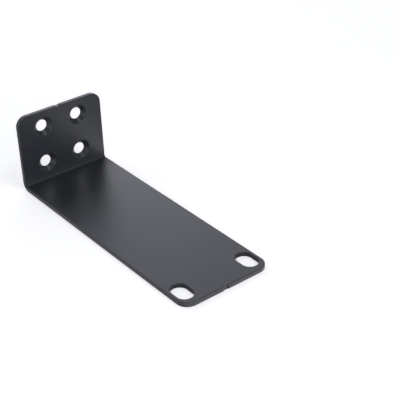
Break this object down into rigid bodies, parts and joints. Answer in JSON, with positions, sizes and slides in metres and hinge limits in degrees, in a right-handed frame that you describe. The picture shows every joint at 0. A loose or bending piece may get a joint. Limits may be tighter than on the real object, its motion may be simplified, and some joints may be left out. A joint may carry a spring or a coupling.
{
  "type": "rack mount ear bracket",
  "caption": "Black folded sheet-steel ear that holds a small device in a rack: long plate with rack slots, short upright flange with countersunk screw holes.",
  "frame": {"origin": "middle of the overall length and width, on the underside of the long plate, which is the face seen from in front of the rack", "axes": "+Y along the long plate from the folded flange to the slotted free end, +Z the way the flange stands, which is towards the back of the rack in use, X across the strip, which is vertical in use"},
  "size_m": [0.0416, 0.1154, 0.0348],
  "materials": {
    "black_powder_coat": "satin"
  },
  "bodies": {
    "root": {"ear_bracket": "black_powder_coat"}
  },
  "joints": []
}
